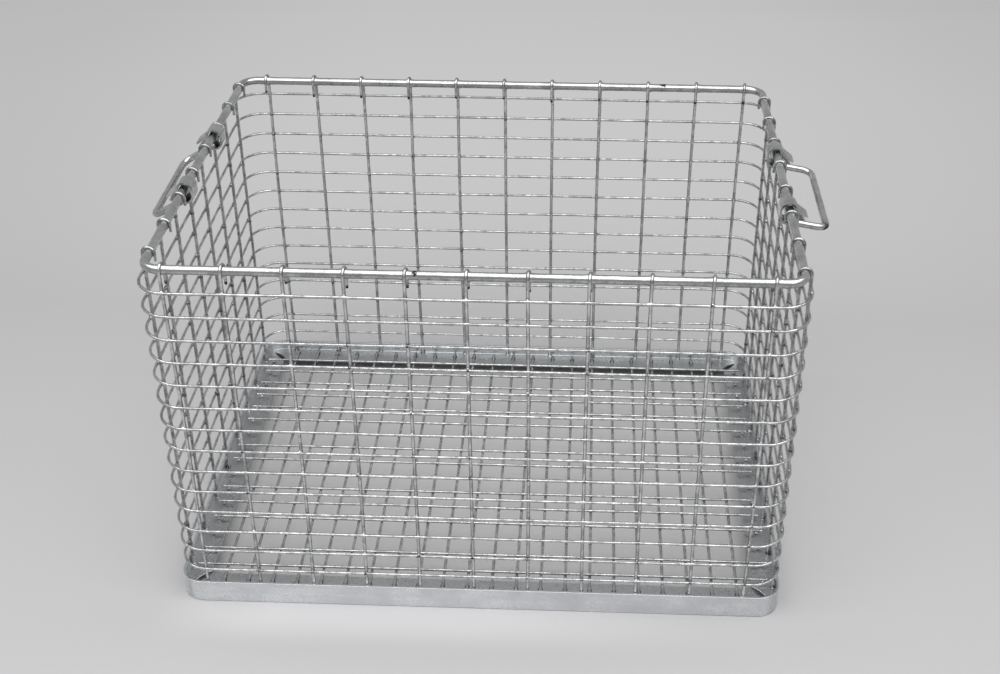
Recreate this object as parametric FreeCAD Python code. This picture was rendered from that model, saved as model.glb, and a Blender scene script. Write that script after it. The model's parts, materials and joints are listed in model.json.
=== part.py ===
import FreeCAD, Part
import math
import os

V = FreeCAD.Vector

# Wire and bar sizes
ringDiameter = 2.8
uprightDiameter = 3.4
rimDiameter = 8.5
handleDiameter = 7.0
crossWireDiameter = 3.2
longWireDiameter = 2.8
weldDepth = 0.1

# Walls: eleven uprights on each long side, eight on each short side, fourteen rings round them
uprightHalfX = 301.3
uprightHalfY = 223.3
uprightPitch = 54.5
longSideUprights = 11
shortSideUprights = 8
frontRowShift = -4.5
backRowShift = 4.5
leftRowShift = 3.0
rightRowShift = -9.5
ringCount = 14
ringPitch = 25.0
lowestRingHeight = 41.0
ringCornerRadius = 29.5

# Top bar that the uprights hook over
rimHeight = 385.6
rimCornerRadius = 17.0
longSideTailLength = 17.0
shortSideTailLength = 8.5
hookSideShift = 1.2

# Base: an upright band with a flange inside it, notched at each corner
bandHeight = 25.0
bandThickness = 3.0
bandClearance = 0.3
bandCornerRadius = 24.0
flangeThickness = 3.0
flangeTop = 14.0
flangeWidth = 24.0
notchLength = 27.0
notchWidth = 5.6
notchStart = 12.5

# Floor mesh lying on the flange
crossWireCount = 22
crossWirePitch = 25.1
crossWireEndGap = 2.3
longWireCount = 16
longWirePitch = 25.7
longWireEndGap = 4.0

# Handles: each turns about a line under the rim
pivotDrop = 8.3
handleReach = 36.5
handleSpan = 124.5
handleCornerRadius = 10.0
handleEndBendRadius = 4.5
handleEndLength = 28.0
leftHandleAngle = -30.0
rightHandleAngle = -10.0
leftHandleFrontLeg = -68.0
rightHandleFrontLeg = -85.0

# Strap clips that hold each handle end under the rim
strapWidth = 17.0
strapThickness = 2.0
strapInnerRadius = 6.9
strapGapToLeg = 1.0
strapCentreInset = 1.0
strapTopDrop = 0.25
strapBottomDrop = 5.5
strapTailHeight = 4.0
strapTailAngle = -38.0
strapTailLength = 21.5
strapTailGap = 2.4
strapTackBite = 0.35
strapTackLength = 5.0

# Small allowances
cutMargin = 1.0
shortestRun = 0.001
quarterTurn = 90.0
fullTurn = 360.0

# Worked-out places
ringRadius = ringDiameter / 2
uprightRadius = uprightDiameter / 2
rimRadius = rimDiameter / 2
handleRadius = handleDiameter / 2
hookRadius = rimRadius + uprightRadius - weldDepth / 2
rimHalfX = uprightHalfX - hookRadius
rimHalfY = uprightHalfY - hookRadius
ringOffset = uprightRadius + ringRadius - weldDepth
ringHalfX = uprightHalfX + ringOffset
ringHalfY = uprightHalfY + ringOffset
bandInnerX = uprightHalfX + uprightRadius + bandClearance
bandInnerY = uprightHalfY + uprightRadius + bandClearance
crossWireHeight = flangeTop + crossWireDiameter / 2 - weldDepth
longWireHeight = crossWireHeight + (crossWireDiameter + longWireDiameter) / 2 - weldDepth
pivotHeight = rimHeight - pivotDrop
leftReach = handleReach * math.cos(math.radians(leftHandleAngle))
rightReach = handleReach * math.cos(math.radians(rightHandleAngle))
middleX = (leftReach - rightReach) / 2


def rod(start, end, radius):
    run = end - start
    return Part.makeCylinder(radius, run.Length, start, run)


def joined(pieces):
    shape = pieces[0].multiFuse(pieces[1:])
    return shape.removeSplitter()


def roundedLoop(halfX, halfY, corner, radius, height):
    """Round wire bent into a rectangle with rounded corners."""
    pieces = []
    spanX = halfX - corner
    spanY = halfY - corner
    for side in (-1, 1):
        y = side * halfY
        pieces.append(rod(V(-spanX, y, height), V(spanX, y, height), radius))
        x = side * halfX
        pieces.append(rod(V(x, -spanY, height), V(x, spanY, height), radius))
    for turn, (signX, signY) in enumerate([(1, 1), (-1, 1), (-1, -1), (1, -1)]):
        bend = Part.makeTorus(corner, radius, V(0, 0, 0), V(0, 0, 1), 0, fullTurn, quarterTurn)
        bend.rotate(V(0, 0, 0), V(0, 0, 1), turn * quarterTurn)
        bend.translate(V(signX * spanX, signY * spanY, height))
        pieces.append(bend)
    return joined(pieces)


def roundedPlate(halfX, halfY, corner, bottom, thickness):
    """Flat plate with rounded corners."""
    box = Part.makeBox(2 * halfX, 2 * halfY, thickness, V(-halfX, -halfY, bottom))
    edges = [e for e in box.Edges if abs(e.Vertexes[0].Z - e.Vertexes[1].Z) > thickness / 2]
    return box.makeFillet(corner, edges)


def bentRod(points, bends, radius):
    """Round rod through the points, with an arc of the given radius at each inner point."""
    edges = []
    last = points[0]
    for index in range(1, len(points) - 1):
        corner = points[index]
        toLast = (points[index - 1] - corner).normalize()
        toNext = (points[index + 1] - corner).normalize()
        halfTurn = toLast.getAngle(toNext) / 2
        reach = bends[index - 1] / math.tan(halfTurn)
        start = corner + toLast * reach
        end = corner + toNext * reach
        inward = (toLast + toNext).normalize()
        centre = corner + inward * (bends[index - 1] / math.sin(halfTurn))
        middle = centre - inward * bends[index - 1]
        if (start - last).Length > shortestRun:
            edges.append(Part.LineSegment(last, start).toShape())
        edges.append(Part.Arc(start, middle, end).toShape())
        last = end
    edges.append(Part.LineSegment(last, points[-1]).toShape())
    path = Part.Wire(edges)
    direction = points[1] - points[0]
    section = Part.Wire([Part.Circle(points[0], direction, radius).toShape()])
    return path.makePipe(Part.Face(section))


def uprightWire(tailLength):
    """Wire standing at the origin, hooked towards +X over the rim and down inside it."""
    across = 2 * hookRadius
    turnRadius = math.hypot(across, hookSideShift) / 2
    foot = V(0, 0, flangeTop - weldDepth)
    springing = V(0, 0, rimHeight)
    crown = V(across / 2, -hookSideShift / 2, rimHeight + turnRadius)
    inside = V(across, -hookSideShift, rimHeight)
    tailEnd = inside - V(0, 0, tailLength)
    edges = [
        Part.LineSegment(foot, springing).toShape(),
        Part.Arc(springing, crown, inside).toShape(),
        Part.LineSegment(inside, tailEnd).toShape(),
    ]
    section = Part.Wire([Part.Circle(foot, V(0, 0, 1), uprightRadius).toShape()])
    return Part.Wire(edges).makePipe(Part.Face(section))


def placedUpright(wire, inwardAngle, x, y):
    shape = wire.copy()
    shape.rotate(V(0, 0, 0), V(0, 0, 1), inwardAngle)
    shape.translate(V(x, y, 0))
    return shape


def evenPlaces(count, pitch, shift):
    """Places along a row of evenly spaced wires, about its middle."""
    return [(index - (count - 1) / 2) * pitch + shift for index in range(count)]


def uprights():
    wire = uprightWire(longSideTailLength)
    endWire = uprightWire(shortSideTailLength)
    found = {}
    for index, x in enumerate(evenPlaces(longSideUprights, uprightPitch, frontRowShift), 1):
        found["front_upright_%02d" % index] = placedUpright(wire, quarterTurn, x, -uprightHalfY)
    for index, x in enumerate(evenPlaces(longSideUprights, uprightPitch, backRowShift), 1):
        found["back_upright_%02d" % index] = placedUpright(wire, -quarterTurn, x, uprightHalfY)
    for index, y in enumerate(evenPlaces(shortSideUprights, uprightPitch, leftRowShift), 1):
        found["left_upright_%02d" % index] = placedUpright(endWire, 0, -uprightHalfX, y)
    for index, y in enumerate(evenPlaces(shortSideUprights, uprightPitch, rightRowShift), 1):
        found["right_upright_%02d" % index] = placedUpright(endWire, 2 * quarterTurn, uprightHalfX, y)
    return found


def ringWires():
    found = {}
    for index in range(ringCount):
        height = lowestRingHeight + index * ringPitch
        loop = roundedLoop(ringHalfX, ringHalfY, ringCornerRadius, ringRadius, height)
        found["ring_wire_%02d" % (index + 1)] = loop
    return found


def cornerNotch(signX, signY):
    """Lens-shaped gap where the flange was notched so that the bar could be bent."""
    half = notchLength / 2
    bulge = notchWidth / 2
    bottom = flangeTop - flangeThickness - cutMargin
    ends = [V(0, 0, 0), V(notchLength, 0, 0)]
    edges = [
        Part.Arc(ends[0], V(half, bulge, 0), ends[1]).toShape(),
        Part.Arc(ends[1], V(half, -bulge, 0), ends[0]).toShape(),
    ]
    lens = Part.Face(Part.Wire(edges)).extrude(V(0, 0, flangeThickness + 2 * cutMargin))
    lens.rotate(V(0, 0, 0), V(0, 0, 1), math.degrees(math.atan2(-signY, -signX)))
    inset = notchStart / math.sqrt(2)
    lens.translate(V(signX * (bandInnerX - inset), signY * (bandInnerY - inset), bottom))
    return lens


def baseFrame():
    """Band and flange in one bar: the space above the flange and the space below it are cut away."""
    outerX = bandInnerX + bandThickness
    outerY = bandInnerY + bandThickness
    outer = roundedPlate(outerX, outerY, bandCornerRadius, 0, bandHeight)
    innerCorner = bandCornerRadius - bandThickness
    above = roundedPlate(bandInnerX, bandInnerY, innerCorner, flangeTop, bandHeight)
    flangeBottom = flangeTop - flangeThickness
    below = roundedPlate(bandInnerX, bandInnerY, innerCorner, -cutMargin, flangeBottom + cutMargin)
    openX = bandInnerX - flangeWidth
    openY = bandInnerY - flangeWidth
    middle = Part.makeBox(2 * openX, 2 * openY, bandHeight, V(-openX, -openY, 0))
    cuts = [above, below, middle]
    for signX in (-1, 1):
        for signY in (-1, 1):
            cuts.append(cornerNotch(signX, signY))
    return outer.cut(cuts).removeSplitter()


def floorCrossWires():
    half = uprightHalfY - crossWireEndGap
    wires = []
    for x in evenPlaces(crossWireCount, crossWirePitch, 0):
        wires.append(rod(V(x, -half, crossWireHeight), V(x, half, crossWireHeight), crossWireDiameter / 2))
    return Part.makeCompound(wires)


def floorLongWires():
    half = uprightHalfX - longWireEndGap
    wires = []
    for y in evenPlaces(longWireCount, longWirePitch, 0):
        wires.append(rod(V(-half, y, longWireHeight), V(half, y, longWireHeight), longWireDiameter / 2))
    return Part.makeCompound(wires)


def handle(side, frontLeg, angle):
    """Rod bent into a grip and two legs, with both ends turned the same way along the rim."""
    outX = side * handleReach * math.cos(math.radians(angle))
    outZ = handleReach * math.sin(math.radians(angle))
    pivotX = side * rimHalfX
    backLeg = frontLeg + handleSpan
    points = [
        V(pivotX, frontLeg + handleEndLength, pivotHeight),
        V(pivotX, frontLeg, pivotHeight),
        V(pivotX + outX, frontLeg, pivotHeight + outZ),
        V(pivotX + outX, backLeg, pivotHeight + outZ),
        V(pivotX, backLeg, pivotHeight),
        V(pivotX, backLeg + handleEndLength, pivotHeight),
    ]
    bends = [handleEndBendRadius, handleCornerRadius, handleCornerRadius, handleEndBendRadius]
    return bentRod(points, bends, handleRadius)


def longRound(radius):
    """Upright long round, as wide as the strap, from the loop's top centre down to its bottom centre."""
    across = V(0, strapWidth, 0)
    top = V(-strapCentreInset, 0, -strapTopDrop)
    bottom = V(-strapCentreInset, 0, -strapBottomDrop)
    corner = bottom - V(radius, 0, 0)
    middle = Part.makeBox(2 * radius, strapWidth, strapBottomDrop - strapTopDrop, corner)
    ends = [Part.makeCylinder(radius, strapWidth, centre, across) for centre in (top, bottom)]
    return joined([middle] + ends)


def strapClip(side, startY):
    """Flat strip looped round the rim and a handle end, its two tails pointing out and down."""
    loop = longRound(strapInnerRadius + strapThickness)
    tailRoot = V(-strapCentreInset, 0, strapTailHeight)
    tailDepth = strapTailGap + 2 * strapThickness
    tail = Part.makeBox(strapTailLength, strapWidth, tailDepth, V(0, 0, -tailDepth / 2))
    slot = Part.makeBox(strapTailLength + cutMargin, strapWidth, strapTailGap, V(0, 0, -strapTailGap / 2))
    for plate in (tail, slot):
        plate.rotate(V(0, 0, 0), V(0, 1, 0), -strapTailAngle)
        plate.translate(tailRoot)
    clip = loop.fuse(tail).cut([longRound(strapInnerRadius), slot])
    gapOverRim = strapInnerRadius - strapTopDrop - rimRadius
    tackStart = V(0, (strapWidth - strapTackLength) / 2, rimRadius + gapOverRim / 2)
    tack = Part.makeCylinder(gapOverRim / 2 + strapTackBite, strapTackLength, tackStart, V(0, 1, 0))
    clip = clip.fuse(tack).removeSplitter()
    if side < 0:
        clip = clip.mirror(V(0, 0, 0), V(1, 0, 0))
    clip.translate(V(side * rimHalfX, startY, rimHeight))
    return clip


def strapPair(side, frontLeg):
    edgeGap = handleRadius + strapGapToLeg
    clips = [strapClip(side, leg + edgeGap) for leg in (frontLeg, frontLeg + handleSpan)]
    return Part.makeCompound(clips)


def buildParts():
    found = {
        "top_rim": roundedLoop(rimHalfX, rimHalfY, rimCornerRadius, rimRadius, rimHeight),
        "base_frame": baseFrame(),
        "floor_cross_wires": floorCrossWires(),
        "floor_long_wires": floorLongWires(),
        "handle_left": handle(-1, leftHandleFrontLeg, leftHandleAngle),
        "handle_right": handle(1, rightHandleFrontLeg, rightHandleAngle),
        "left_handle_straps": strapPair(-1, leftHandleFrontLeg),
        "right_handle_straps": strapPair(1, rightHandleFrontLeg),
    }
    found.update(ringWires())
    found.update(uprights())
    return found


os.makedirs("parts", exist_ok=True)
totalVolume = 0
for name, shape in sorted(buildParts().items()):
    shape.translate(V(middleX, 0, 0))
    shape.exportStep("parts/" + name + ".step")
    totalVolume += shape.Volume
    print("%-22s solids %2d valid %s volume %.0f" % (name, len(shape.Solids), shape.isValid(), shape.Volume))
print("middle x %.3f, steel volume %.0f cubic mm" % (middleX, totalVolume))
print("rim half x %.2f, half y %.2f, pivot height %.2f" % (rimHalfX, rimHalfY, pivotHeight))
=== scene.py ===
import bpy
import bmesh
import json
import math
from mathutils import Matrix, Vector, noise


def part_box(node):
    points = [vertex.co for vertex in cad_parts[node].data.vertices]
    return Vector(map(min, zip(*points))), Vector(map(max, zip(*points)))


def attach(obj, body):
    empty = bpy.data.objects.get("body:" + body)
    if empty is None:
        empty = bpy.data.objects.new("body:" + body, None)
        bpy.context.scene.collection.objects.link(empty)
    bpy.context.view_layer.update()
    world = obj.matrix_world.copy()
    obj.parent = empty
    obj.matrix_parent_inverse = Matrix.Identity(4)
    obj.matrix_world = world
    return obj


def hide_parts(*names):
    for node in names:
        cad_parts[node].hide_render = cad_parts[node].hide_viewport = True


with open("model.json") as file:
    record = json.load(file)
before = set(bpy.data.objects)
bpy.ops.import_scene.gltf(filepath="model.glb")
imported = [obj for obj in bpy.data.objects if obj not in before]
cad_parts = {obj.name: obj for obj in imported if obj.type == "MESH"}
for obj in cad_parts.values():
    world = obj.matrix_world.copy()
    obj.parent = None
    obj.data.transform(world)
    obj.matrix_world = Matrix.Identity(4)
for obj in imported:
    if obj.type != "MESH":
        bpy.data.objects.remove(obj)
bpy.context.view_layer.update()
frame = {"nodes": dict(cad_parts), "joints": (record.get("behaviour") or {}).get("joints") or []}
scene = bpy.context.scene
mm = 0.001
up = Vector((0, 0, 1))
print("frame loaded, nodes:", len(frame["nodes"]))


# small shader helpers: each adds one node to a tree and gives back its output
def addNoise(tree, vector, scale, detail, roughness):
    node = tree.nodes.new("ShaderNodeTexNoise")
    tree.links.new(vector, node.inputs["Vector"])
    if isinstance(scale, bpy.types.NodeSocket):
        tree.links.new(scale, node.inputs["Scale"])
    else:
        node.inputs["Scale"].default_value = scale
    node.inputs["Detail"].default_value = detail
    node.inputs["Roughness"].default_value = roughness
    return node.outputs["Fac"]


def addRange(tree, value, low, high, toLow=0.0, toHigh=1.0, smooth=False):
    node = tree.nodes.new("ShaderNodeMapRange")
    if smooth:
        node.interpolation_type = "SMOOTHSTEP"
    tree.links.new(value, node.inputs["Value"])
    node.inputs["From Min"].default_value = low
    node.inputs["From Max"].default_value = high
    node.inputs["To Min"].default_value = toLow
    node.inputs["To Max"].default_value = toHigh
    return node.outputs["Result"]


def addMaths(tree, operation, first, second):
    node = tree.nodes.new("ShaderNodeMath")
    node.operation = operation
    for index, value in enumerate((first, second)):
        if isinstance(value, bpy.types.NodeSocket):
            tree.links.new(value, node.inputs[index])
        else:
            node.inputs[index].default_value = value
    return node.outputs[0]


def addMix(tree, factor, first, second):
    node = tree.nodes.new("ShaderNodeMix")
    node.data_type = "RGBA"
    for key, value in (("Factor", factor), ("A", first), ("B", second)):
        if isinstance(value, bpy.types.NodeSocket):
            tree.links.new(value, node.inputs[key])
        else:
            node.inputs[key].default_value = value
    return node.outputs["Result"]


# the camera stands where the photo was taken from
shot = {
    "place": (0.09573, -1.30146, 1.01760),
    "turn": (57.406, -0.196, 2.262),
    "lens": 51.23,
    "sensor": 36.0,
    "shiftX": -0.0361,
}


def makeCamera(values):
    data = bpy.data.cameras.new("camera")
    data.lens = values["lens"]
    data.sensor_width = values["sensor"]
    data.shift_x = values["shiftX"]
    camera = bpy.data.objects.new("camera", data)
    camera.location = values["place"]
    camera.rotation_euler = [math.radians(angle) for angle in values["turn"]]
    scene.collection.objects.link(camera)
    scene.camera = camera
    scene.view_settings.view_transform = "Standard"


# one wide soft panel over the basket, from above the camera to over the back wall, in a plain grey room
panelLook = {
    "place": (0.0, -0.72, 1.9),
    "aim": (0.0, -0.70, 0.0),
    "size": (4.0, 2.35),
    "wattsPerSquare": 6.2,
}
roomLook = {"low": 0.42, "high": 0.36, "rise": 0.75, "seen": 0.56}


def makeLamp(name, values):
    data = bpy.data.lights.new(name, "AREA")
    data.shape = "RECTANGLE"
    data.size, data.size_y = values["size"]
    data.energy = values["wattsPerSquare"] * data.size * data.size_y
    lamp = bpy.data.objects.new(name, data)
    lamp.location = values["place"]
    away = Vector(values["place"]) - Vector(values["aim"])
    lamp.rotation_euler = away.to_track_quat("Z", "Y").to_euler()
    scene.collection.objects.link(lamp)


def makeRoom(values):
    world = bpy.data.worlds.new("room")
    scene.world = world
    world.use_nodes = True
    nodes, links = world.node_tree.nodes, world.node_tree.links
    place = nodes.new("ShaderNodeTexCoord")
    split = nodes.new("ShaderNodeSeparateXYZ")
    links.new(place.outputs["Generated"], split.inputs[0])
    rise = addRange(world.node_tree, split.outputs["Z"], 0.0, values["rise"], values["low"], values["high"])
    path = nodes.new("ShaderNodeLightPath")
    seen = nodes.new("ShaderNodeMix")
    links.new(path.outputs["Is Camera Ray"], seen.inputs["Factor"])
    links.new(rise, seen.inputs["A"])
    seen.inputs["B"].default_value = values["seen"]
    links.new(seen.outputs["Result"], nodes["Background"].inputs["Color"])


makeCamera(shot)
makeLamp("panelLamp", panelLook)
makeRoom(roomLook)
print("camera and lights placed")


# floor: pale grey paper, given as tones from front to back that paint in the light's falloff,
# a little lighter along the middle as a painted pool of light, and with a painted gleam where the band throws
# light back
floorLook = {
    "half": 9.0,
    "drop": 0.3 * mm,
    "roughness": 0.75,
    "specular": 0.2,
    "tint": (1.0, 0.994, 1.008),
    # painted light falloff: the paper's tone rises towards the back
    "paintedFalloffTones": [(-0.6, 0.507), (0.35, 0.507), (0.5, 0.551), (0.65, 0.595), (0.85, 0.651), (1.1, 0.72),
              (1.5, 0.81), (2.2, 0.86)],
    "paintedMiddleLight": 0.07,
    "paintedMiddleHalf": (0.25, 0.95),
    # painted light: a bright strip of floor along the front of the base
    "paintedGleam": 0.66,
    "paintedGleamFront": (-0.295, -0.245),
    "paintedGleamBack": (-0.222, -0.232),
    "paintedGleamLeft": (-0.36, -0.20),
    "paintedGleamRight": (0.38, -0.05),
}


def makeFloor(values):
    bm = bmesh.new()
    bmesh.ops.create_grid(bm, x_segments=1, y_segments=1, size=values["half"])
    bmesh.ops.translate(bm, verts=bm.verts, vec=(0, 0, -values["drop"]))
    mesh = bpy.data.meshes.new("floor")
    bm.to_mesh(mesh)
    bm.free()
    floor = bpy.data.objects.new("floor", mesh)
    scene.collection.objects.link(floor)
    material = bpy.data.materials.new("paperFloor")
    material.use_nodes = True
    tree = material.node_tree
    nodes, links = tree.nodes, tree.links
    shader = nodes["Principled BSDF"]
    shader.inputs["Roughness"].default_value = values["roughness"]
    shader.inputs["Specular IOR Level"].default_value = values["specular"]
    place = nodes.new("ShaderNodeTexCoord")
    split = nodes.new("ShaderNodeSeparateXYZ")
    links.new(place.outputs["Object"], split.inputs[0])
    front, back = values["paintedFalloffTones"][0][0], values["paintedFalloffTones"][-1][0]
    ramp = nodes.new("ShaderNodeValToRGB")
    links.new(addRange(tree, split.outputs["Y"], front, back), ramp.inputs["Fac"])
    stops = ramp.color_ramp.elements
    while len(stops) < len(values["paintedFalloffTones"]):
        stops.new(1.0)
    for stop, (along, tone) in zip(stops, values["paintedFalloffTones"]):
        stop.position = (along - front) / (back - front)
        stop.color = (*(tone * part for part in values["tint"]), 1)
    # painted pool of light: the middle of the floor is made lighter
    fromMiddle = addMaths(tree, "ABSOLUTE", split.outputs["X"], 0.0)
    offMiddle = addRange(tree, fromMiddle, *values["paintedMiddleHalf"], smooth=True)
    loss = addMaths(tree, "MULTIPLY", offMiddle, values["paintedMiddleLight"])
    paintedMiddleLift = addMaths(tree, "SUBTRACT", 1 + values["paintedMiddleLight"], loss)
    # painted light: the gleam strip in front of the base
    paintedGleam = 1.0
    for axis, edge in (("Y", "paintedGleamFront"), ("Y", "paintedGleamBack"), ("X", "paintedGleamLeft"), ("X", "paintedGleamRight")):
        fade = addRange(tree, split.outputs[axis], *values[edge], smooth=True)
        paintedGleam = addMaths(tree, "MULTIPLY", paintedGleam, fade)
    paintedGleamGain = addMaths(tree, "MULTIPLY", paintedGleam, values["paintedGleam"] / values["paintedFalloffTones"][0][1] - 1)
    paintedLightLevel = addMaths(tree, "MULTIPLY", paintedMiddleLift, addMaths(tree, "ADD", paintedGleamGain, 1.0))
    tone = nodes.new("ShaderNodeVectorMath")
    tone.operation = "SCALE"
    links.new(ramp.outputs["Color"], tone.inputs[0])
    links.new(paintedLightLevel, tone.inputs["Scale"])
    links.new(tone.outputs[0], shader.inputs["Base Color"])
    mesh.materials.append(material)


makeFloor(floorLook)
print("floor laid")


# shader groups shared by every zinc finish
def makeGroup(name, inputs, outputs):
    group = bpy.data.node_groups.new(name, "ShaderNodeTree")
    for socket, kind, value in inputs:
        made = group.interface.new_socket(name=socket, in_out="INPUT", socket_type="NodeSocket" + kind)
        made.default_value = value
    for socket, kind in outputs:
        group.interface.new_socket(name=socket, in_out="OUTPUT", socket_type="NodeSocket" + kind)
    return group, group.nodes.new("NodeGroupInput"), group.nodes.new("NodeGroupOutput")


def buildZincCoat():
    inputs = [
        ("Vector", "Vector", (0, 0, 0)),
        ("Bright", "Color", (0.8, 0.8, 0.8, 1)),
        ("Dull", "Color", (0.5, 0.5, 0.5, 1)),
        ("Patch Scale", "Float", 60.0),
        ("Grain Scale", "Float", 420.0),
        ("Polish", "Float", 0.2),
        ("Matt", "Float", 0.2),
        ("Speckle", "Float", 0.4),
    ]
    outputs = [("Color", "Color"), ("Roughness", "Float"), ("Height", "Float")]
    group, given, result = makeGroup("zincCoat", inputs, outputs)
    place = given.outputs["Vector"]
    patch = addRange(group, addNoise(group, place, given.outputs["Patch Scale"], 3.0, 0.6), 0.38, 0.64)
    grain = addNoise(group, place, given.outputs["Grain Scale"], 2.0, 0.5)
    colour = addMix(group, patch, given.outputs["Bright"], given.outputs["Dull"])
    speckle = addMaths(group, "MULTIPLY", addRange(group, grain, 0.60, 0.72), given.outputs["Speckle"])
    colour = addMix(group, speckle, colour, (0.12, 0.125, 0.13, 1))
    rough = addMaths(group, "MULTIPLY", patch, given.outputs["Matt"])
    rough = addMaths(group, "ADD", rough, given.outputs["Polish"])
    rough = addMaths(group, "ADD", rough, addRange(group, grain, 0.3, 0.7, -0.04, 0.08))
    fine, coarse = addMaths(group, "MULTIPLY", grain, 0.5), addMaths(group, "MULTIPLY", patch, 0.5)
    height = addMaths(group, "ADD", fine, coarse)
    group.links.new(colour, result.inputs["Color"])
    group.links.new(rough, result.inputs["Roughness"])
    group.links.new(height, result.inputs["Height"])
    return group


def buildShadeAndBurntZinc():
    # painted shade: a dark skin on the faces that turn down or sideways, then the burnt places, some of which
    # are painted shadow
    inputs = [
        ("Vector", "Vector", (0, 0, 0)),
        ("Clean", "Color", (0.8, 0.8, 0.8, 1)),
        ("PaintedShade", "Float", 0.0),
        ("Skin", "Color", (0.3, 0.3, 0.3, 1)),
        ("Amount", "Float", 0.0),
        ("BurntAndShade", "Color", (0.03, 0.03, 0.028, 1)),
        ("Roughness", "Float", 0.3),
    ]
    outputs = [("Color", "Color"), ("Roughness", "Float")]
    group, given, result = makeGroup("shadeAndBurntZinc", inputs, outputs)
    uneven = addRange(group, addNoise(group, given.outputs["Vector"], 260.0, 2.0, 0.6), 0.3, 0.7, 0.45, 1.0)
    shadeSkin = addMaths(group, "MULTIPLY", given.outputs["PaintedShade"], uneven)
    colour = addMix(group, shadeSkin, given.outputs["Clean"], given.outputs["Skin"])
    ragged = addRange(group, addNoise(group, given.outputs["Vector"], 900.0, 2.0, 0.6), 0.3, 0.7, -0.35, 0.35)
    cover = addRange(group, addMaths(group, "ADD", given.outputs["Amount"], ragged), 0.45, 0.75)
    cover = addMaths(group, "MULTIPLY", cover, addRange(group, given.outputs["Amount"], 0.02, 0.2))
    group.links.new(addMix(group, cover, colour, given.outputs["BurntAndShade"]), result.inputs["Color"])
    rough = addMaths(group, "MAXIMUM", given.outputs["Roughness"], addMaths(group, "MULTIPLY", cover, 0.7))
    group.links.new(rough, result.inputs["Roughness"])
    return group


def buildBrushMarks():
    inputs = [
        ("Vector", "Vector", (0, 0, 0)),
        ("Clean", "Color", (0.8, 0.8, 0.8, 1)),
        ("Marked", "Color", (0.5, 0.5, 0.5, 1)),
        ("Scale", "Float", 160.0),
        ("Strength", "Float", 0.5),
    ]
    outputs = [("Color", "Color"), ("Mask", "Float")]
    group, given, result = makeGroup("brushMarks", inputs, outputs)
    marks = addNoise(group, given.outputs["Vector"], given.outputs["Scale"], 4.0, 0.65)
    marks = addRange(group, marks, 0.38, 0.68)
    share = addMaths(group, "MULTIPLY", marks, given.outputs["Strength"])
    colour = addMix(group, share, given.outputs["Clean"], given.outputs["Marked"])
    group.links.new(colour, result.inputs["Color"])
    group.links.new(marks, result.inputs["Mask"])
    return group


zincCoat = buildZincCoat()
shadeAndBurntZinc = buildShadeAndBurntZinc()
brushMarks = buildBrushMarks()

finishes = {
    "wireZinc": {"bright": (0.76, 0.765, 0.77), "dull": (0.43, 0.433, 0.435), "shadeSkin": (0.09, 0.092, 0.09),
                 "patch": 110, "grain": 560, "polish": 0.14, "matt": 0.18, "bump": 1.0, "depth": 0.4 * mm,
                 "speckle": 0.5},
    "barZinc": {"bright": (0.73, 0.735, 0.74), "dull": (0.50, 0.505, 0.508), "shadeSkin": (0.09, 0.092, 0.09),
                "patch": 55, "grain": 480, "polish": 0.14, "matt": 0.14, "bump": 0.5, "depth": 0.3 * mm,
                "speckle": 0.35},
    "baseZinc": {"bright": (0.79, 0.81, 0.825), "dull": (0.68, 0.695, 0.71), "shadeSkin": (0.36, 0.37, 0.37),
                 "patch": 24, "grain": 380, "polish": 0.24, "matt": 0.12, "bump": 0.15, "depth": 0.25 * mm,
                 "speckle": 0.12, "marks": 0.5, "marked": (0.64, 0.655, 0.67), "slant": (0, 55, 45),
                 "stretch": 0.12},
}


def useGroup(nodes, tree):
    node = nodes.new("ShaderNodeGroup")
    node.node_tree = tree
    return node


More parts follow.
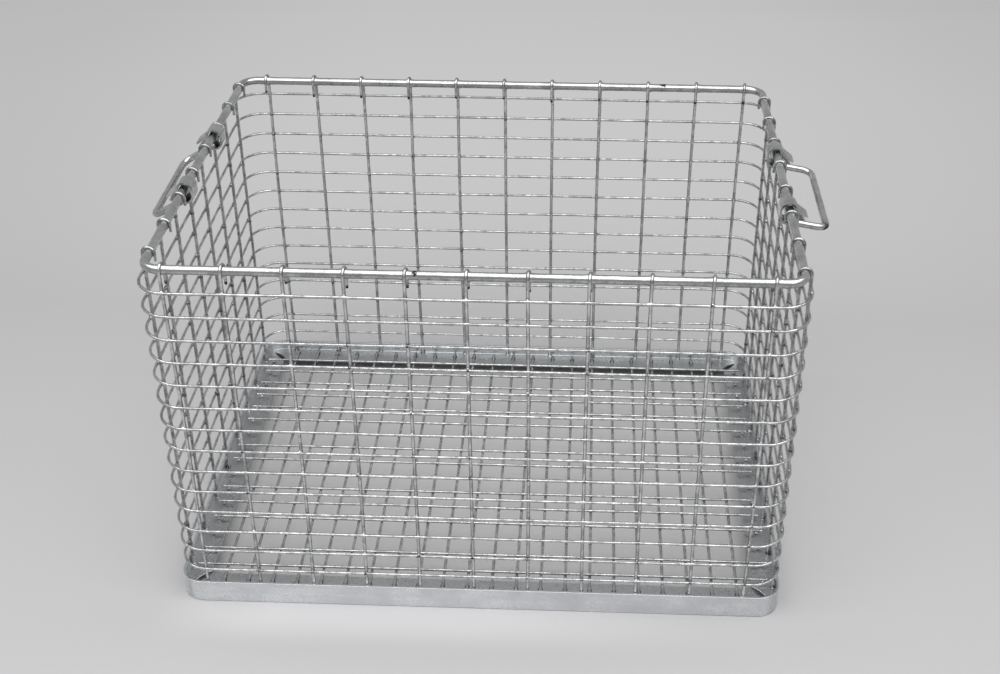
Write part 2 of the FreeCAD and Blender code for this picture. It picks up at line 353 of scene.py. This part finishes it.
def makeFinish(name, values):
    material = bpy.data.materials.new(name)
    material.use_nodes = True
    nodes, links = material.node_tree.nodes, material.node_tree.links
    shader = nodes["Principled BSDF"]
    place = nodes.new("ShaderNodeTexCoord").outputs["Object"]
    coat = useGroup(nodes, zincCoat)
    links.new(place, coat.inputs["Vector"])
    coat.inputs["Bright"].default_value = (*values["bright"], 1)
    coat.inputs["Dull"].default_value = (*values["dull"], 1)
    for socket, key in (("Patch Scale", "patch"), ("Grain Scale", "grain"), ("Polish", "polish"),
                        ("Matt", "matt"), ("Speckle", "speckle")):
        coat.inputs[socket].default_value = values[key]
    colour = coat.outputs["Color"]
    if "marks" in values:
        streak = nodes.new("ShaderNodeMapping")  # long marks that run slantwise across each face
        streak.inputs["Rotation"].default_value = [math.radians(angle) for angle in values["slant"]]
        streak.inputs["Scale"].default_value = (values["stretch"], 1.0, 1.0)
        links.new(place, streak.inputs["Vector"])
        brushed = useGroup(nodes, brushMarks)
        links.new(streak.outputs["Vector"], brushed.inputs["Vector"])
        links.new(colour, brushed.inputs["Clean"])
        brushed.inputs["Marked"].default_value = (*values["marked"], 1)
        brushed.inputs["Strength"].default_value = values["marks"]
        colour = brushed.outputs["Color"]
    # painted shade skin, and burnt places with painted shadow, read from the pieces' attributes
    shadedAndBurnt = useGroup(nodes, shadeAndBurntZinc)
    links.new(place, shadedAndBurnt.inputs["Vector"])
    for attribute, socket in (("burntAndShade", "Amount"), ("paintedShade", "PaintedShade")):
        read = nodes.new("ShaderNodeAttribute")
        read.attribute_name = attribute
        links.new(read.outputs["Fac"], shadedAndBurnt.inputs[socket])
    links.new(colour, shadedAndBurnt.inputs["Clean"])
    shadedAndBurnt.inputs["Skin"].default_value = (*values["shadeSkin"], 1)
    links.new(coat.outputs["Roughness"], shadedAndBurnt.inputs["Roughness"])
    bump = nodes.new("ShaderNodeBump")
    bump.inputs["Strength"].default_value = values["bump"]
    bump.inputs["Distance"].default_value = values["depth"]
    links.new(coat.outputs["Height"], bump.inputs["Height"])
    shader.inputs["Metallic"].default_value = 1.0
    links.new(shadedAndBurnt.outputs["Color"], shader.inputs["Base Color"])
    links.new(shadedAndBurnt.outputs["Roughness"], shader.inputs["Roughness"])
    links.new(bump.outputs["Normal"], shader.inputs["Normal"])
    return material


materials = {name: makeFinish(name, values) for name, values in finishes.items()}
print("finishes mixed:", ", ".join(materials))


# wires are drawn out of a ring of points, section by section, and bent by spinning their end
def startWire(bm, radius, sides, place, heading):
    turn = up.rotation_difference(Vector(heading)).to_matrix().to_4x4()
    matrix = Matrix.Translation(place) @ turn
    made = bmesh.ops.create_circle(bm, cap_ends=False, segments=sides, radius=radius, matrix=matrix)
    return list(dict.fromkeys(edge for vert in made["verts"] for edge in vert.link_edges))


def drawOn(bm, edges, step, scale=1.0):
    made = bmesh.ops.extrude_edge_only(bm, edges=edges)["geom"]
    verts = [part for part in made if isinstance(part, bmesh.types.BMVert)]
    bmesh.ops.translate(bm, verts=verts, vec=step)
    if scale != 1.0:
        middle = sum((vert.co for vert in verts), Vector()) / len(verts)
        bmesh.ops.scale(bm, verts=verts, vec=(scale,) * 3, space=Matrix.Translation(-middle))
    drawn = set(verts)
    return [part for part in made if isinstance(part, bmesh.types.BMEdge) and drawn.issuperset(part.verts)]


def drawRun(bm, edges, heading, stops):
    for before, after in zip(stops, stops[1:]):
        edges = drawOn(bm, edges, heading * (after - before))
    return edges


def bendWire(bm, edges, centre, axis, angle, steps):
    verts = list(dict.fromkeys(vert for edge in edges for vert in edge.verts))
    made = bmesh.ops.spin(bm, geom=verts + list(edges), cent=centre, axis=axis, angle=angle, steps=steps,
                          use_merge=False, use_duplicate=False)
    return [part for part in made["geom_last"] if isinstance(part, bmesh.types.BMEdge)]


# the shrinking sections that round an end off: how far each reaches, in radii, and its scale
roundEnd = ((0.35, 0.86), (0.25, 0.6))
endReach = sum(reach for reach, scale in roundEnd)


def closeEnd(bm, edges, heading, radius):
    for reach, scale in roundEnd:
        edges = drawOn(bm, edges, heading * radius * reach, scale)
    bmesh.ops.contextual_create(bm, geom=edges)


def sectionStops(length, crossings, pitch, nearby):
    stops = []
    for crossing in crossings:
        stops += [crossing - offset for offset in nearby] + [crossing + offset for offset in nearby]
    count = max(2, round(length / pitch))
    for index in range(1, count):
        place = length * index / count
        if all(abs(place - crossing) > nearby[-1] + pitch / 2 for crossing in crossings):
            stops.append(place)
    kept, least = [0.0], 0.2 * mm
    for stop in sorted(stops):
        if stop > kept[-1] + least and stop < length - least:
            kept.append(stop)
    return kept + [length]


def newBody():
    bm = bmesh.new()
    # the first layer holds burnt places and painted shadow, the second painted shade
    bm.verts.layers.float.new("burntAndShade")
    bm.verts.layers.float.new("paintedShade")
    return bm


def chance(first, second, third=0.0):
    # an even number from 0 to 1 that depends only on the three given; the factors only spread them out
    return noise.cell(Vector((first * 7.13 + 0.5, second * 3.71 + 0.5, third * 5.37 + 0.5)))


def roughenZinc(bm, depth, grain, seed, fineShare=0.5, fineScale=2.3):
    bm.normal_update()
    shift = Vector((seed * 1.7, seed * 0.9, seed * 2.3))  # each piece reads its own part of the noise
    for vert in bm.verts:
        lump = noise.noise(vert.co / grain + shift)
        lump += fineShare * noise.noise(vert.co / grain * fineScale + shift)
        vert.co += vert.normal * depth * lump


def paintShade(bm, side, amount, reach=0.2):
    # painted shade: the skin is darkest where the surface faces that side; a standing wire has it on both
    # sides
    bm.normal_update()
    layer = bm.verts.layers.float["paintedShade"]
    for vert in bm.verts:
        facing = vert.normal.dot(side)
        vert[layer] = amount * (max(0, facing + reach) / (1 + reach) if side.z else facing ** 2)


def addBead(bm, place, size, burntAndShade):
    matrix = Matrix.Translation(place) @ Matrix.Diagonal((*size, 1))
    made = bmesh.ops.create_uvsphere(bm, u_segments=8, v_segments=5, radius=1, matrix=matrix)
    layer = bm.verts.layers.float["burntAndShade"]
    for vert in made["verts"]:
        vert[layer] = burntAndShade
    return made["verts"]


def burnSpots(bm, spots, hardness=2.2):
    # a spot is given by its place and how far it reaches
    layer = bm.verts.layers.float["burntAndShade"]
    for place, reach in spots:
        spot = Vector(place)
        for vert in bm.verts:
            near = 1 - (vert.co - spot).length / reach
            if near > 0:
                vert[layer] = max(vert[layer], min(1, hardness * near))


def finishPiece(name, bm, finish, body, node):
    mesh = bpy.data.meshes.new(name)
    bmesh.ops.recalc_face_normals(bm, faces=bm.faces)
    bm.to_mesh(mesh)
    bm.free()
    mesh.materials.append(materials[finish])
    mesh.shade_smooth()
    piece = bpy.data.objects.new(name, mesh)
    scene.collection.objects.link(piece)
    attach(piece, body)
    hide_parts(node)
    return piece


# where the uprights stand, read from the frame
uprightRadius = 1.7 * mm
inwards = {
    "front": Vector((0, 1, 0)),
    "back": Vector((0, -1, 0)),
    "left": Vector((1, 0, 0)),
    "right": Vector((-1, 0, 0)),
}


def uprightPlace(node, inward):
    # the hook leans to one side, so the wire's own axis is one radius in from the other side
    low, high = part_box(node)
    sideways = up.cross(inward)
    place = Vector((0, 0, low.z))
    for axis in (0, 1):
        fromLow = inward[axis] > 0 or sideways[axis] < 0
        place[axis] = low[axis] + uprightRadius if fromLow else high[axis] - uprightRadius
    return place


uprightPlaces, ringHeights = {}, {}
for node in sorted(frame["nodes"]):
    if "_upright_" in node:
        uprightPlaces[node] = uprightPlace(node, inwards[node.split("_")[0]])
    elif node.startswith("ring_wire_"):
        low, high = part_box(node)
        ringHeights[node] = (low.z + high.z) / 2
rimLow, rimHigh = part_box("top_rim")
rimMiddle = (rimLow + rimHigh) / 2


# closed loops: the fourteen ring wires and the rim
ringLook = {"radius": 1.4 * mm, "corner": 29.5 * mm, "sides": 10, "pitch": 5 * mm, "bendSteps": 10,
            "weldReach": 3.0 * mm, "swell": 0.18 * mm, "swellLeast": 0.05, "weldSink": 0.35 * mm,
            "wander": 0.55 * mm, "wanderWave": 0.11, "lump": 0.07 * mm, "lumpSize": 4.5 * mm,
            "beadPlace": 0.9, "beadDepth": 1.1 * mm, "beadSize": 1.9 * mm, "beadLeast": 0.8,
            "beadVaries": 0.5, "beadBurnt": 0.6, "paintedShade": 0.9, "burntAndShade": 0.68, "cleanShare": 0.4}
rimLook = {"radius": 4.25 * mm, "corner": 17 * mm, "sides": 20, "pitch": 4 * mm, "bendSteps": 12,
           "weldReach": 3.4 * mm, "swell": 0.8 * mm, "swellLeast": 0.02, "lump": 0.12 * mm,
           "lumpSize": 9 * mm, "seed": 41, "paintedShade": 1.0, "paintedShadeReach": 0.7,
           "spots": [((-0.0525, -0.2190, 0.3895), 5 * mm), ((0.1825, 0.2170, 0.3898), 5 * mm)]}
crossingSections = (0.0, 1.3 * mm, 2.6 * mm, 4.2 * mm)  # a wire has sections this far from each crossing
seamGap = 0.01 * mm


def drawLoop(bm, halfX, halfY, look, crossings):
    # anticlockwise about the origin; crossings are places along each side's own axis
    spanX, spanY = halfX - look["corner"], halfY - look["corner"]
    runs = [
        (Vector((1, 0, 0)), Vector((-spanX, -halfY, 0)), 2 * spanX, [x + spanX for x in crossings["front"]]),
        (Vector((0, 1, 0)), Vector((halfX, -spanY, 0)), 2 * spanY, [y + spanY for y in crossings["right"]]),
        (Vector((-1, 0, 0)), Vector((spanX, halfY, 0)), 2 * spanX, [spanX - x for x in crossings["back"]]),
        (Vector((0, -1, 0)), Vector((-halfX, spanY, 0)), 2 * spanY, [spanY - y for y in crossings["left"]]),
    ]
    edges = startWire(bm, look["radius"], look["sides"], runs[0][1], runs[0][0])
    for heading, start, length, places in runs:
        inside = [place for place in places if 0 < place < length]
        edges = drawRun(bm, edges, heading, sectionStops(length, inside, look["pitch"], crossingSections))
        centre = start + heading * length + up.cross(heading) * look["corner"]
        edges = bendWire(bm, edges, centre, up, math.radians(90), look["bendSteps"])
    bmesh.ops.remove_doubles(bm, verts=bm.verts, dist=seamGap)


def crossingsFrom(middle):
    found = {}
    for side, inward in inwards.items():
        along = 0 if inward.y else 1
        places = [place for node, place in uprightPlaces.items() if node.startswith(side)]
        found[side] = sorted(place[along] - middle[along] for place in places)
    return found


def nearestSide(place, spanX, spanY):
    if abs(place.y) - spanY > abs(place.x) - spanX:
        return ("front" if place.y < 0 else "back"), 0
    return ("left" if place.x < 0 else "right"), 1


def nearCrossing(place, half, look, crossings):
    # for a point of a loop: the way in from its wall, the nearest upright, how near that is, the wire's axis
    side, axis = nearestSide(place, half.x - look["corner"], half.y - look["corner"])
    inward = inwards[side]
    spot = min(crossings[side], key=lambda crossing: abs(crossing - place[axis]))
    near = math.exp(-((place[axis] - spot) / look["weldReach"]) ** 2)
    axisPoint = -inward * (half.x if inward.x else half.y)
    axisPoint[axis] = place[axis]
    return inward, spot, near, axisPoint


def makeRings(look):
    low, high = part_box("ring_wire_01")
    middle = (low + high) / 2
    middle.z = 0
    half = (high - low) / 2 - Vector((1, 1, 1)) * look["radius"]
    crossings = crossingsFrom(middle)
    pattern = newBody()
    weld = pattern.verts.layers.int.new("weld")
    drawLoop(pattern, half.x, half.y, look, crossings)
    welds = []
    for side, places in crossings.items():
        inward = inwards[side]
        for along in places:
            spot = -inward * ((half.x if inward.x else half.y) - look["radius"] * look["beadPlace"])
            spot[0 if inward.y else 1] = along
            size = Vector((look["beadSize"],) * 3)
            size[0 if inward.x else 1] = look["beadDepth"]
            welds.append(spot)
            for vert in addBead(pattern, spot, size, 0):
                vert[weld] = len(welds)
    # painted shade on the ring wires' undersides
    paintShade(pattern, -up, look["paintedShade"])
    for number, (node, height) in enumerate(sorted(ringHeights.items()), 1):
        bm = pattern.copy()
        burntAndShade, weld = bm.verts.layers.float["burntAndShade"], bm.verts.layers.int["weld"]
        roughenZinc(bm, look["lump"], look["lumpSize"], number)
        for vert in bm.verts:
            if vert[weld]:
                spot = welds[vert[weld] - 1]
                growth = look["beadLeast"] + look["beadVaries"] * chance(vert[weld], number, 5)
                vert.co = spot + (vert.co - spot) * growth
                vert[burntAndShade] = look["beadBurnt"] * chance(vert[weld], number, 9)
            else:
                inward, spot, near, axisPoint = nearCrossing(vert.co, half, look, crossings)
                if near > look["swellLeast"]:
                    vert.co += (vert.co - axisPoint) / look["radius"] * look["swell"] * near
                vert.co += inward * look["weldSink"] * near
                vert[burntAndShade] = look["burntAndShade"] * near * (chance(spot * 900, number, 3) > look["cleanShare"])
            wave = Vector((vert.co.x / look["wanderWave"], vert.co.y / look["wanderWave"], number * 3.1))
            vert.co.z += look["wander"] * noise.noise(wave)
        bmesh.ops.translate(bm, verts=bm.verts, vec=middle + up * height)
        finishPiece("galvanised_" + node, bm, "wireZinc", "basket", node)
    pattern.free()


def makeRim(look):
    half = (rimHigh - rimLow) / 2 - Vector((1, 1, 1)) * look["radius"]
    bm = newBody()
    crossings = crossingsFrom(rimMiddle)
    drawLoop(bm, half.x, half.y, look, crossings)
    for vert in bm.verts:  # zinc fills the corner on both sides of each hook
        inward, spot, near, axisPoint = nearCrossing(vert.co, half, look, crossings)
        if near > look["swellLeast"]:
            vert.co += (vert.co - axisPoint) / look["radius"] * look["swell"] * near
    roughenZinc(bm, look["lump"], look["lumpSize"], look["seed"])
    bmesh.ops.translate(bm, verts=bm.verts, vec=rimMiddle)
    # painted shade on the rim's underside
    paintShade(bm, -up, look["paintedShade"], look["paintedShadeReach"])
    burnSpots(bm, look["spots"])
    finishPiece("galvanised_rim", bm, "barZinc", "basket", "top_rim")


makeRings(ringLook)
makeRim(rimLook)
print("ring wires and rim drawn")


# uprights: one wire is drawn with its hook, then copied, varied and stood in each place;
# the hooks' tails are shorter on the two ends (endShare) and on two uprights of the long sides
hookLook = {"sides": 10, "pitch": 5 * mm, "bendSteps": 12, "radius": 5.65 * mm, "sideShift": 1.2 * mm,
            "tailLength": 17 * mm, "tailPitch": 2.5 * mm, "endShare": 0.5, "shortest": 0.88,
            "tipDarkLength": 6 * mm, "pinch": 0.2, "pinchReach": 4 * mm, "bow": 0.5 * mm,
            "lump": 0.08 * mm, "lumpSize": 5 * mm, "swell": 0.2 * mm, "swellReach": 2.2 * mm,
            "footSize": (3.0 * mm, 3.0 * mm, 1.2 * mm), "footRise": 0.4 * mm, "footHeight": 2 * mm,
            "footDark": 0.5, "footVaries": 0.35, "paintedShade": 0.9, "burntAndShade": 0.68, "cleanShare": 0.45}
shortTails = {"back_upright_01": 0.7, "front_upright_09": 0.75}


def drawUpright(look, foot):
    # foot at the origin, hook leaning over towards +X and a little to -Y
    bm = newBody()
    length = rimMiddle.z - foot
    crossings = [height - foot for height in ringHeights.values()]
    edges = startWire(bm, uprightRadius, look["sides"], Vector((0, 0, 0)), up)
    edges = drawRun(bm, edges, up, sectionStops(length, crossings, look["pitch"], crossingSections))
    across = Vector((2 * look["radius"], -look["sideShift"], 0))
    centre = up * length + across / 2
    edges = bendWire(bm, edges, centre, up.cross(across).normalized(), math.radians(180), look["bendSteps"])
    edges = drawRun(bm, edges, -up, sectionStops(look["tailLength"], [], look["tailPitch"], (0.0,)))
    closeEnd(bm, edges, -up, uprightRadius)
    addBead(bm, up * look["footRise"], look["footSize"], 0)
    # painted shade on both sides of the upright
    paintShade(bm, Vector((0, 1, 0)), look["paintedShade"])
    return bm, length, crossings, across


def makeUprights(look):
    foot = min(place.z for place in uprightPlaces.values())
    pattern, length, crossings, across = drawUpright(look, foot)
    for seed, (node, place) in enumerate(sorted(uprightPlaces.items())):
        bm = pattern.copy()
        burntAndShade = bm.verts.layers.float["burntAndShade"]
        share = shortTails.get(node, look["shortest"] + (1 - look["shortest"]) * chance(seed, 2))
        share *= look["endShare"] if node.startswith(("left", "right")) else 1
        tail = look["tailLength"] * share
        lean = look["bow"] * (2 * chance(seed, 5, 1) - 1)
        footDark = look["footDark"] + look["footVaries"] * chance(seed, 8, 2)
        roughenZinc(bm, look["lump"], look["lumpSize"], seed + 1)
        for vert in bm.verts:
            height = vert.co.z
            if vert.co.x > look["radius"] and height < length:
                vert.co.z = length - (length - height) * share
                toTip = tail - (length - vert.co.z)
                # darker towards the tail's tip
                vert[burntAndShade] = max(0, 1 - toTip / look["tipDarkLength"]) if share > look["endShare"] else 0
                thin = 1 - look["pinch"] * min(1, (length - height) / look["pinchReach"])
                middle = Vector((across.x, across.y, vert.co.z))
                vert.co = middle + (vert.co - middle) * thin
            elif height < look["footHeight"]:
                # the foot and the lowest part of the wire are darker
                vert[burntAndShade] = footDark
            elif height < length:
                nearest = min(crossings, key=lambda spot: abs(spot - height))
                near = math.exp(-((height - nearest) / look["swellReach"]) ** 2)
                vert[burntAndShade] = look["burntAndShade"] * near * (chance(nearest * 800, seed, 4) > look["cleanShare"])
                axisPoint = up * height
                vert.co += (vert.co - axisPoint) / uprightRadius * look["swell"] * near
                vert.co.y += lean * math.sin(math.pi * height / length)
        inward = inwards[node.split("_")[0]]
        turn = Matrix.Rotation(math.atan2(inward.y, inward.x), 4, "Z")
        bmesh.ops.transform(bm, verts=bm.verts, matrix=Matrix.Translation(place) @ turn)
        finishPiece("galvanised_" + node, bm, "wireZinc", "basket", node)
    pattern.free()


makeUprights(hookLook)
print("uprights hooked over the rim:", len(uprightPlaces))


# floor mesh: two layers of straight wires, each layer one wire repeated, with puddles of zinc on the flange,
# darkened as painted contact shadow
meshLook = {"sides": 8, "pitch": 6 * mm, "wander": 0.5 * mm, "wanderWave": 0.16, "lump": 0.07 * mm,
            "lumpSize": 4.5 * mm, "uneven": 1.8 * mm, "unevenReach": 8 * mm, "endDark": 0.5,
            "cleanShare": 0.6, "paintedShade": 0.9}
floorLayers = {
    "floor_cross_wires": {"count": 22, "pitch": 25.1 * mm, "radius": 1.6 * mm, "heading": Vector((0, 1, 0)),
                          "puddle": (2.8 * mm, 6.0 * mm, 0.9 * mm), "puddleDrop": 1.5 * mm,
                          "puddleInset": 6 * mm, "puddleShadow": 0.8, "seed": 61},
    "floor_long_wires": {"count": 16, "pitch": 25.7 * mm, "radius": 1.4 * mm, "heading": Vector((1, 0, 0)),
                         "puddle": (2.4 * mm, 1.9 * mm, 1.5 * mm), "puddleDrop": 2.6 * mm,
                         "puddleInset": 5 * mm, "puddleShadow": 0.35, "seed": 60},
}


def makeFloorLayer(node, facts, other, look):
    low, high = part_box(node)
    middle = (low + high) / 2
    heading = facts["heading"]
    along = 0 if heading.x else 1
    across = 1 - along
    half = (high[along] - low[along]) / 2
    length = 2 * half - 2 * endReach * facts["radius"]
    firstCrossing = -(other["count"] - 1) / 2
    crossings = [(firstCrossing + index) * other["pitch"] + length / 2 for index in range(other["count"])]
    bm = newBody()
    start = middle - heading * length / 2
    start[across] -= facts["pitch"] * (facts["count"] - 1) / 2
    ring = startWire(bm, facts["radius"], look["sides"], start, heading)
    edges = drawRun(bm, ring, heading, sectionStops(length, crossings, look["pitch"], crossingSections[:3]))
    closeEnd(bm, edges, heading, facts["radius"])
    closeEnd(bm, ring, -heading, facts["radius"])
    for end in (-1, 1):
        spot = start + heading * (length / 2 + end * (length / 2 - facts["puddleInset"]))
        # dark puddles either side of each wire end: painted contact shadow
        addBead(bm, spot - up * facts["puddleDrop"], facts["puddle"], facts["puddleShadow"])
    side = Vector((0, 0, 0))
    side[across] = facts["pitch"]
    wire = list(bm.verts) + list(bm.edges) + list(bm.faces)
    for index in range(1, facts["count"]):
        made = bmesh.ops.duplicate(bm, geom=wire)["geom"]
        verts = [part for part in made if isinstance(part, bmesh.types.BMVert)]
        bmesh.ops.translate(bm, verts=verts, vec=side * index)
    burntAndShade = bm.verts.layers.float["burntAndShade"]
    for vert in bm.verts:
        index = round((vert.co[across] - start[across]) / facts["pitch"])
        offset = vert.co[along] - middle[along]
        end = 1 if offset > 0 else -1
        toEnd = (half - abs(offset)) / look["unevenReach"]
        if toEnd < 1:
            vert.co[along] -= end * look["uneven"] * chance(index, end, along) * (1 - toEnd)
            # some wire ends are darker towards the end
            endDark = max(0, look["endDark"] - toEnd) * (chance(index, end, 7) > look["cleanShare"])
            vert[burntAndShade] = max(vert[burntAndShade], endDark)
        wave = Vector((offset / look["wanderWave"], index * 4.3, 2.0 + along))
        vert.co[across] += look["wander"] * noise.noise(wave)
    # painted shade on the floor wires' undersides
    paintShade(bm, -up, look["paintedShade"])
    roughenZinc(bm, look["lump"], look["lumpSize"], facts["seed"])
    finishPiece("galvanised_" + node, bm, "wireZinc", "basket", node)


layerNames = list(floorLayers)
for node, otherNode in zip(layerNames, reversed(layerNames)):
    makeFloorLayer(node, floorLayers[node], floorLayers[otherNode], meshLook)
print("floor mesh laid")


# base frame and strap clips keep their solids' form, with the edges that dipping rounds off
coatLook = {"merge": 0.002 * mm, "flatAngle": math.radians(0.5), "sharpAngle": math.radians(35),
            "segments": 3}
baseLook = {"finish": "baseZinc", "slot": "base_zinc", "edge": 0.6 * mm, "paintedShade": 0.45, "inside": 2.5 * mm}
clipLook = {"finish": "barZinc", "slot": "strap_zinc", "edge": 0.95 * mm, "paintedShade": 1.0, "paintedShadeReach": 0.6,
            "hollow": 10.5 * mm, "facing": 0.5}
coatedPieces = {"base_frame": baseLook, "left_handle_straps": clipLook, "right_handle_straps": clipLook}


def insideBand(vert, high, look):
    # painted shade: the flange and the inner face of the band are made duller and darker than the outside
    return max(abs(vert.co.x) - high.x, abs(vert.co.y) - high.y) < -look["inside"]


def insideClip(vert, look):
    # the inner face of a clip is the one that looks at the rim's own axis; it gets painted shade
    rimAxis = Vector((math.copysign(rimHigh.x - rimLook["radius"], vert.co.x), vert.co.y, rimMiddle.z))
    toRim = rimAxis - vert.co
    return toRim.length < look["hollow"] and toRim.dot(vert.normal) > look["facing"] * toRim.length


def makeCoated(node, look, coat):
    bm = newBody()
    bm.from_mesh(frame["nodes"][node].data)
    bmesh.ops.remove_doubles(bm, verts=bm.verts, dist=coat["merge"])
    bmesh.ops.dissolve_limit(bm, angle_limit=coat["flatAngle"], verts=bm.verts, edges=bm.edges)
    sharp = [edge for edge in bm.edges if edge.is_manifold and edge.calc_face_angle() > coat["sharpAngle"]]
    bmesh.ops.bevel(bm, geom=sharp, offset=look["edge"], offset_type="OFFSET", affect="EDGES",
                    segments=coat["segments"], profile=0.5, material=-1, clamp_overlap=True)
    layer = bm.verts.layers.float["paintedShade"]
    isClip = "hollow" in look
    if isClip:
        # painted shade on the clip's underside
        paintShade(bm, -up, look["paintedShade"], look["paintedShadeReach"])
    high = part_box(node)[1]
    for vert in bm.verts:
        within = insideClip(vert, look) if isClip else insideBand(vert, high, look)
        # painted shade on the band's flange and inner face, and on each clip's inner face
        if within:
            vert[layer] = look["paintedShade"]
    piece = finishPiece("galvanised_" + node, bm, look["finish"], "basket", node)
    piece.data.set_sharp_from_angle(angle=coat["sharpAngle"])
    flat = piece.modifiers.new("flatFaces", "WEIGHTED_NORMAL")  # flat faces stay flat beside rounded edges
    flat.keep_sharp = True


for node, look in coatedPieces.items():
    makeCoated(node, look, coatLook)
print("base frame and clips coated")


# bail handles, bent in their own plane and then swung down to rest
handleLook = {"radius": 3.5 * mm, "reach": 36.5 * mm, "span": 124.5 * mm, "corner": 10 * mm,
              "endBend": 4.5 * mm, "endLength": 28 * mm, "endRound": 0.5, "sides": 16, "bendSteps": 8,
              "pitch": 4 * mm, "lump": 0.1 * mm, "lumpSize": 8 * mm, "paintedShade": 1.0, "paintedShadeReach": 0.7}
handles = {
    "left": {"swing": -30.0, "seed": 70, "spots": []},
    "right": {"swing": 10.0, "seed": 71, "spots": [((0.3270, -0.0815, 0.3690), 8 * mm)]},
}


def makeHandle(side, look, own):
    node = "handle_" + side
    radius = look["radius"] - look["lump"]
    joint = next(joint for joint in frame["joints"] if joint["child"] == side + "_handle")
    pivot = Vector(joint["pos_m"])
    pivot.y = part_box(node)[0].y + look["radius"]
    alongY, outX = Vector((0, 1, 0)), Vector((1, 0, 0))
    reach, span, corner, endBend = look["reach"], look["span"], look["corner"], look["endBend"]
    quarter, steps = math.radians(90), look["bendSteps"]
    bm = newBody()

    def run(edges, heading, length):
        return drawRun(bm, edges, heading, sectionStops(length, [], look["pitch"], (0.0,)))

    start = startWire(bm, radius, look["sides"], alongY * look["endLength"], -alongY)
    edges = run(start, -alongY, look["endLength"] - endBend)
    edges = bendWire(bm, edges, Vector((endBend, endBend, 0)), up, quarter, steps)
    edges = run(edges, outX, reach - endBend - corner)
    edges = bendWire(bm, edges, Vector((reach - corner, corner, 0)), up, quarter, steps)
    edges = run(edges, alongY, span - 2 * corner)
    edges = bendWire(bm, edges, Vector((reach - corner, span - corner, 0)), up, quarter, steps)
    edges = run(edges, -outX, reach - endBend - corner)
    edges = bendWire(bm, edges, Vector((endBend, span + endBend, 0)), up, -quarter, steps)
    edges = run(edges, alongY, look["endLength"] - endBend)
    closeEnd(bm, edges, alongY, radius * look["endRound"])
    closeEnd(bm, start, alongY, radius * look["endRound"])
    roughenZinc(bm, look["lump"], look["lumpSize"], own["seed"])
    # painted shade on the handle's underside
    paintShade(bm, -up, look["paintedShade"], look["paintedShadeReach"])
    if side == "left":
        bmesh.ops.scale(bm, verts=bm.verts, vec=(-1, 1, 1))
    swing = Matrix.Rotation(math.radians(own["swing"]), 4, "Y")
    bmesh.ops.transform(bm, verts=bm.verts, matrix=Matrix.Translation(pivot) @ swing)
    burnSpots(bm, own["spots"])
    finishPiece("galvanised_" + node, bm, "barZinc", side + "_handle", node)


for side, own in handles.items():
    makeHandle(side, handleLook, own)
print("handles bent")
